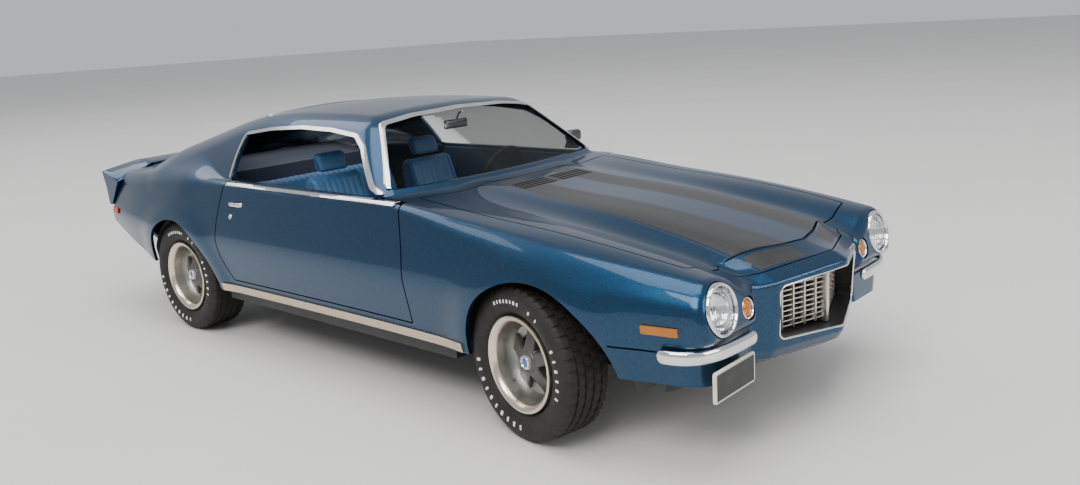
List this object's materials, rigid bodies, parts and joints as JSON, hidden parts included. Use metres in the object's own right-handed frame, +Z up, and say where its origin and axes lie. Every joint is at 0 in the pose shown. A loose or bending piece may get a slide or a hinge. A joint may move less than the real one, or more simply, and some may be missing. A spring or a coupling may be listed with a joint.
{
  "type": "scale model car",
  "caption": "Diecast scale model of a two-door coupe with opening doors, hood and trunk, rolling wheels, working steering and a detailed cabin.",
  "frame": {"origin": "centre of the footprint on the surface that the tyres stand on", "axes": "+X towards the nose, +Y towards the car's left side, +Z up"},
  "size_m": [0.2656, 0.107, 0.0724],
  "materials": {
    "body_paint": "metallic blue gloss",
    "chrome": "bright",
    "grille_silver": "satin",
    "clear_lens": "fluted",
    "amber_lens": "translucent",
    "red_lens": "translucent",
    "black_plate": "gloss",
    "window_glass": "clear",
    "trim_silver": "satin",
    "chassis_black": "satin",
    "steel": "satin",
    "blue_interior": "satin",
    "dark_interior": "matte",
    "engine_orange": "gloss",
    "tyre_rubber": "matte",
    "wheel_silver": "satin"
  },
  "bodies": {
    "car_body": {"body_shell": "body_paint", "nose_panel": "body_paint", "front_valances": "body_paint", "grille": "grille_silver", "grille_surround": "chrome", "lamp_bezels": "chrome", "headlight_lenses": "clear_lens", "parking_lamp_lenses": "amber_lens", "front_markers": "amber_lens", "front_bumperettes": "chrome", "licence_plate": "black_plate", "rear_bumper": "chrome", "tail_panel": "body_paint", "tail_lamps": "red_lens", "spoiler_ends": "body_paint", "windshield": "window_glass", "windshield_trim": "trim_silver", "rear_window": "window_glass", "side_window_trim": "trim_silver", "rocker_mouldings": "trim_silver", "chassis": "chassis_black", "chassis_screws": "steel", "exhaust": "steel", "driveshaft": "steel", "rear_axle": "steel", "leaf_springs": "chassis_black", "front_crossmember": "chassis_black", "cabin_tub": "dark_interior", "dashboard": "dark_interior", "steering_column": "dark_interior", "front_seats": "blue_interior", "rear_seat": "blue_interior", "console": "blue_interior", "cabin_mirror": "chrome", "engine_block": "engine_orange", "valve_covers": "chrome", "air_cleaner": "chrome", "radiator": "chassis_black"},
    "hood_lid": {"hood": "body_paint"},
    "trunk": {"trunk_lid": "body_paint", "spoiler_centre": "body_paint"},
    "door_r": {"door_right": "body_paint", "door_card_right": "blue_interior", "door_trim_right": "chrome"},
    "door_l": {"door_left": "body_paint", "door_card_left": "blue_interior", "door_trim_left": "chrome", "door_mirror": "body_paint"},
    "knuckle_r": {"knuckle_right": "chassis_black"},
    "knuckle_l": {"knuckle_left": "chassis_black"},
    "steering_tie_rod": {"tie_rod": "chassis_black"},
    "steering_wheel_body": {"steering_wheel": "dark_interior"},
    "wheel_front_right": {"tyre_front_right": "tyre_rubber", "rim_front_right": "wheel_silver"},
    "wheel_front_left": {"tyre_front_left": "tyre_rubber", "rim_front_left": "wheel_silver"},
    "wheel_rear_right": {"tyre_rear_right": "tyre_rubber", "rim_rear_right": "wheel_silver"},
    "wheel_rear_left": {"tyre_rear_left": "tyre_rubber", "rim_rear_left": "wheel_silver"}
  },
  "joints": [
    {"name": "steer_right", "type": "hinge", "parent": "car_body", "child": "knuckle_r", "pos_m": [0.0798, -0.0346, 0.0182], "axis": [0, 0, 1], "range_deg": [-15, 35]},
    {"name": "steer_left", "type": "hinge", "parent": "car_body", "child": "knuckle_l", "pos_m": [0.0798, 0.0346, 0.0182], "axis": [0, 0, 1], "range_deg": [-15, 35]},
    {"name": "tie_rod_slide", "type": "slide", "parent": "car_body", "child": "steering_tie_rod", "axis": [0, 1, 0], "range_m": [-0.0056, 0.0025]},
    {"name": "steering_wheel_turn", "type": "hinge", "parent": "car_body", "child": "steering_wheel_body", "pos_m": [0.0096, 0.019, 0.0476], "axis": [-0.9272, 0, 0.3746], "range_deg": [-46, 106]},
    {"name": "door_right_hinge", "type": "hinge", "parent": "car_body", "child": "door_r", "pos_m": [0.038, -0.0503, 0.036], "axis": [0, 0, 1], "range_deg": [0, 65]},
    {"name": "door_left_hinge", "type": "hinge", "parent": "car_body", "child": "door_l", "pos_m": [0.038, 0.0503, 0.036], "axis": [0, 0, -1], "range_deg": [0, 65]},
    {"name": "hood_hinge", "type": "hinge", "parent": "car_body", "child": "hood_lid", "pos_m": [0.0369, 0, 0.0513], "axis": [0, -1, 0], "range_deg": [0, 50]},
    {"name": "trunk_hinge", "type": "hinge", "parent": "car_body", "child": "trunk", "pos_m": [-0.1034, 0, 0.057], "axis": [0, 1, 0], "range_deg": [0, 55]},
    {"name": "spin_front_right", "type": "hinge", "parent": "knuckle_r", "child": "wheel_front_right", "pos_m": [0.0798, -0.0346, 0.0182], "axis": [0.1736, 0.9848, 0], "continuous": true},
    {"name": "spin_front_left", "type": "hinge", "parent": "knuckle_l", "child": "wheel_front_left", "pos_m": [0.0798, 0.0346, 0.0182], "axis": [0.1736, 0.9848, 0], "continuous": true},
    {"name": "spin_rear_right", "type": "hinge", "parent": "car_body", "child": "wheel_rear_right", "pos_m": [-0.0734, -0.043, 0.0182], "axis": [0, 1, 0], "continuous": true},
    {"name": "spin_rear_left", "type": "hinge", "parent": "car_body", "child": "wheel_rear_left", "pos_m": [-0.0734, 0.043, 0.0182], "axis": [0, 1, 0], "continuous": true}
  ],
  "couplings": [
    {"joint": "steer_left", "follows": "steer_right", "ratio": 1},
    {"joint": "tie_rod_slide", "follows": "steer_right", "m_per_rad": -0.0088},
    {"joint": "steering_wheel_turn", "follows": "steer_right", "ratio": 3}
  ]
}
